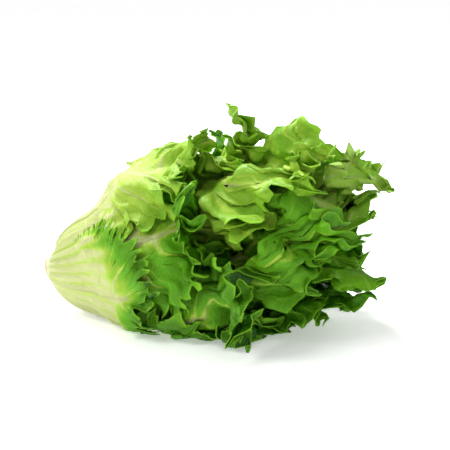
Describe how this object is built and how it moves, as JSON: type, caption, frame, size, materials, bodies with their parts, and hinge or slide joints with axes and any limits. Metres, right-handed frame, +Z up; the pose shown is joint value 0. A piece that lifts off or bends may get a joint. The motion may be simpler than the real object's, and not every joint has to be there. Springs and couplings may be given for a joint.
{
  "type": "lettuce",
  "caption": "Cut head of curled leaf lettuce lying on its side: short pale stem and frilled leaves nested round a heart.",
  "frame": {"origin": "on the surface that the head lies on, under the middle of its box", "axes": "+X from the cut stem to the leaf tips, +Z up, -Y towards the front"},
  "size_m": [0.3164, 0.247, 0.1955],
  "materials": {
    "stem": "moist, pale cut stem",
    "outer_leaf": "waxy dark green blade, cream rib",
    "inner_leaf": "waxy mid green blade",
    "heart_leaf": "soft yellow-green blade"
  },
  "bodies": {
    "root": {"stem": "stem", "leaf_01": "outer_leaf", "leaf_02": "outer_leaf", "leaf_03": "outer_leaf", "leaf_04": "outer_leaf", "leaf_05": "outer_leaf", "leaf_06": "outer_leaf", "leaf_07": "outer_leaf", "leaf_08": "inner_leaf", "leaf_09": "inner_leaf", "leaf_10": "inner_leaf", "leaf_11": "inner_leaf", "leaf_12": "inner_leaf", "leaf_13": "inner_leaf", "leaf_14": "inner_leaf", "leaf_15": "heart_leaf", "leaf_16": "heart_leaf", "leaf_17": "heart_leaf", "leaf_18": "heart_leaf", "leaf_19": "heart_leaf", "leaf_20": "heart_leaf", "leaf_21": "heart_leaf", "leaf_22": "heart_leaf"}
  },
  "joints": []
}
